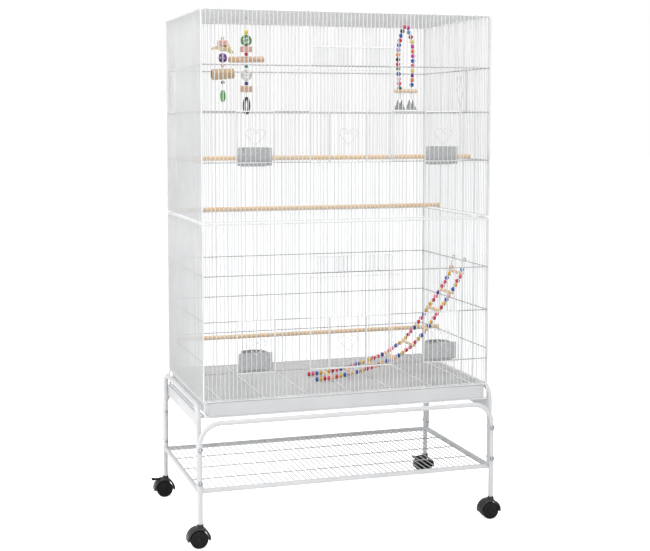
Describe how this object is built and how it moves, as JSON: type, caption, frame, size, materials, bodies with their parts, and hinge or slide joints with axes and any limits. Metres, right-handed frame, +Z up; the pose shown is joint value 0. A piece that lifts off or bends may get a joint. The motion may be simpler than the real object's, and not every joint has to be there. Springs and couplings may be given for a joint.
{
  "type": "bird cage with stand",
  "caption": "Two-tier wire bird cage on a rolling tube stand with shelf: drop-down front doors, sliding feeder doors, pull-out tray, cups, perches, toys, rope ladder, braked casters.",
  "frame": {"origin": "on the ground under the middle of the cage", "axes": "+X to the right, -Y out of the front, +Z up"},
  "size_m": [0.8725, 0.504, 1.3603],
  "materials": {
    "white_wire": "white powder coat over steel wire",
    "white_tube": "white powder coat over steel tube",
    "tray_plastic": "light grey moulded plastic",
    "cup_plastic": "translucent grey moulded plastic",
    "wood": "plain sanded wood",
    "toy_beads": "dyed wood and plastic beads in many colours",
    "ladder": "plain wood rungs on strings of coloured beads",
    "bell_metal": "thin spun steel",
    "zinc_steel": "zinc plated",
    "caster_plastic": "black moulded plastic"
  },
  "bodies": {
    "cage_and_stand": {"front_frame": "white_tube", "rear_frame": "white_tube", "left_side_frame": "white_tube", "right_side_frame": "white_tube", "shelf": "white_wire", "bolt_front_left_low": "zinc_steel", "bolt_front_left_high": "zinc_steel", "bolt_front_right_low": "zinc_steel", "bolt_front_right_high": "zinc_steel", "bolt_rear_left_low": "zinc_steel", "bolt_rear_left_high": "zinc_steel", "bolt_rear_right_low": "zinc_steel", "bolt_rear_right_high": "zinc_steel", "front_panel_lower": "white_wire", "front_panel_upper": "white_wire", "rear_panel_lower": "white_wire", "rear_panel_upper": "white_wire", "left_panel_lower": "white_wire", "left_panel_upper": "white_wire", "right_panel_lower": "white_wire", "right_panel_upper": "white_wire", "roof_grille": "white_wire", "floor_grille": "white_wire", "wire_base": "white_wire", "cup_left_lower": "cup_plastic", "cup_left_upper": "cup_plastic", "cup_right_lower": "cup_plastic", "cup_right_upper": "cup_plastic", "perch_front": "wood", "perch_middle": "wood", "perch_low": "wood", "rope_ladder": "ladder"},
    "tray": {"tray": "tray_plastic"},
    "main_door_lower": {"main_door_lower": "white_wire"},
    "main_door_upper": {"main_door_upper": "white_wire"},
    "feeder_door_left_lower": {"feeder_door_left_lower": "white_wire"},
    "feeder_door_left_upper": {"feeder_door_left_upper": "white_wire"},
    "feeder_door_middle_lower": {"feeder_door_middle_lower": "white_wire"},
    "feeder_door_middle_upper": {"feeder_door_middle_upper": "white_wire"},
    "feeder_door_right_lower": {"feeder_door_right_lower": "white_wire"},
    "feeder_door_right_upper": {"feeder_door_right_upper": "white_wire"},
    "side_door_left": {"side_door_left": "white_wire"},
    "side_door_right": {"side_door_right": "white_wire"},
    "toy_rattan": {"toy_rattan": "toy_beads"},
    "toy_balls": {"toy_balls": "toy_beads"},
    "swing": {"swing_beads": "toy_beads", "swing_bar": "wood"},
    "bell_left": {"bell_left": "bell_metal"},
    "bell_right": {"bell_right": "bell_metal"},
    "caster_front_left": {"caster_hood_front_left": "caster_plastic"},
    "caster_front_right": {"caster_hood_front_right": "caster_plastic"},
    "caster_rear_left": {"caster_hood_rear_left": "caster_plastic"},
    "caster_rear_right": {"caster_hood_rear_right": "caster_plastic"},
    "wheels_front_left": {"caster_wheels_front_left": "caster_plastic"},
    "wheels_front_right": {"caster_wheels_front_right": "caster_plastic"},
    "wheels_rear_left": {"caster_wheels_rear_left": "caster_plastic"},
    "wheels_rear_right": {"caster_wheels_rear_right": "caster_plastic"},
    "brake_lever_left": {"brake_lever_left": "caster_plastic"},
    "brake_lever_right": {"brake_lever_right": "caster_plastic"}
  },
  "joints": [
    {"name": "tray_slide", "type": "slide", "parent": "cage_and_stand", "child": "tray", "axis": [0, -1, 0], "range_m": [0, 0.42]},
    {"name": "main_door_lower_hinge", "type": "hinge", "parent": "cage_and_stand", "child": "main_door_lower", "pos_m": [0, -0.23845, 0.4408], "axis": [1, 0, 0], "range_deg": [0, 95]},
    {"name": "main_door_upper_hinge", "type": "hinge", "parent": "cage_and_stand", "child": "main_door_upper", "pos_m": [0, -0.23845, 0.9745], "axis": [1, 0, 0], "range_deg": [0, 95]},
    {"name": "feeder_left_lower_slide", "type": "slide", "parent": "cage_and_stand", "child": "feeder_door_left_lower", "axis": [0, 0, 1], "range_m": [0, 0.1]},
    {"name": "feeder_left_upper_slide", "type": "slide", "parent": "cage_and_stand", "child": "feeder_door_left_upper", "axis": [0, 0, 1], "range_m": [0, 0.1]},
    {"name": "feeder_middle_lower_slide", "type": "slide", "parent": "main_door_lower", "child": "feeder_door_middle_lower", "axis": [0, 0, 1], "range_m": [0, 0.1]},
    {"name": "feeder_middle_upper_slide", "type": "slide", "parent": "main_door_upper", "child": "feeder_door_middle_upper", "axis": [0, 0, 1], "range_m": [0, 0.1]},
    {"name": "feeder_right_lower_slide", "type": "slide", "parent": "cage_and_stand", "child": "feeder_door_right_lower", "axis": [0, 0, 1], "range_m": [0, 0.1]},
    {"name": "feeder_right_upper_slide", "type": "slide", "parent": "cage_and_stand", "child": "feeder_door_right_upper", "axis": [0, 0, 1], "range_m": [0, 0.1]},
    {"name": "side_door_left_slide", "type": "slide", "parent": "cage_and_stand", "child": "side_door_left", "axis": [0, 0, 1], "range_m": [0, 0.1]},
    {"name": "side_door_right_slide", "type": "slide", "parent": "cage_and_stand", "child": "side_door_right", "axis": [0, 0, 1], "range_m": [0, 0.1]},
    {"name": "toy_rattan_swing", "type": "hinge", "parent": "cage_and_stand", "child": "toy_rattan", "pos_m": [-0.282, 0, 1.3559], "axis": [1, 0, 0], "range_deg": [-20, 20]},
    {"name": "toy_balls_swing", "type": "hinge", "parent": "cage_and_stand", "child": "toy_balls", "pos_m": [-0.217, 0, 1.3559], "axis": [1, 0, 0], "range_deg": [-20, 20]},
    {"name": "swing_swing", "type": "hinge", "parent": "cage_and_stand", "child": "swing", "pos_m": [0.24, 0, 1.3559], "axis": [1, 0, 0], "range_deg": [-20, 20]},
    {"name": "bell_left_swing", "type": "hinge", "parent": "swing", "child": "bell_left", "pos_m": [0.223, 0, 1.1624], "axis": [1, 0, 0], "range_deg": [-25, 25]},
    {"name": "bell_right_swing", "type": "hinge", "parent": "swing", "child": "bell_right", "pos_m": [0.257, 0, 1.1624], "axis": [1, 0, 0], "range_deg": [-25, 25]},
    {"name": "caster_front_left_swivel", "type": "hinge", "parent": "cage_and_stand", "child": "caster_front_left", "pos_m": [-0.403, -0.236, 0.06], "axis": [0, 0, 1], "continuous": true},
    {"name": "caster_front_right_swivel", "type": "hinge", "parent": "cage_and_stand", "child": "caster_front_right", "pos_m": [0.403, -0.236, 0.06], "axis": [0, 0, 1], "continuous": true},
    {"name": "caster_rear_left_swivel", "type": "hinge", "parent": "cage_and_stand", "child": "caster_rear_left", "pos_m": [-0.403, 0.236, 0.06], "axis": [0, 0, 1], "continuous": true},
    {"name": "caster_rear_right_swivel", "type": "hinge", "parent": "cage_and_stand", "child": "caster_rear_right", "pos_m": [0.403, 0.236, 0.06], "axis": [0, 0, 1], "continuous": true},
    {"name": "wheels_front_left_spin", "type": "hinge", "parent": "caster_front_left", "child": "wheels_front_left", "pos_m": [-0.408, -0.236, 0.023], "axis": [0, 1, 0], "continuous": true},
    {"name": "wheels_front_right_spin", "type": "hinge", "parent": "caster_front_right", "child": "wheels_front_right", "pos_m": [0.398, -0.236, 0.023], "axis": [0, 1, 0], "continuous": true},
    {"name": "wheels_rear_left_spin", "type": "hinge", "parent": "caster_rear_left", "child": "wheels_rear_left", "pos_m": [-0.408, 0.236, 0.023], "axis": [0, 1, 0], "continuous": true},
    {"name": "wheels_rear_right_spin", "type": "hinge", "parent": "caster_rear_right", "child": "wheels_rear_right", "pos_m": [0.398, 0.236, 0.023], "axis": [0, 1, 0], "continuous": true},
    {"name": "brake_lever_left_press", "type": "hinge", "parent": "caster_rear_left", "child": "brake_lever_left", "pos_m": [-0.427, 0.236, 0.049], "axis": [0, -1, 0], "range_deg": [0, 12]},
    {"name": "brake_lever_right_press", "type": "hinge", "parent": "caster_rear_right", "child": "brake_lever_right", "pos_m": [0.379, 0.236, 0.049], "axis": [0, -1, 0], "range_deg": [0, 12]}
  ]
}
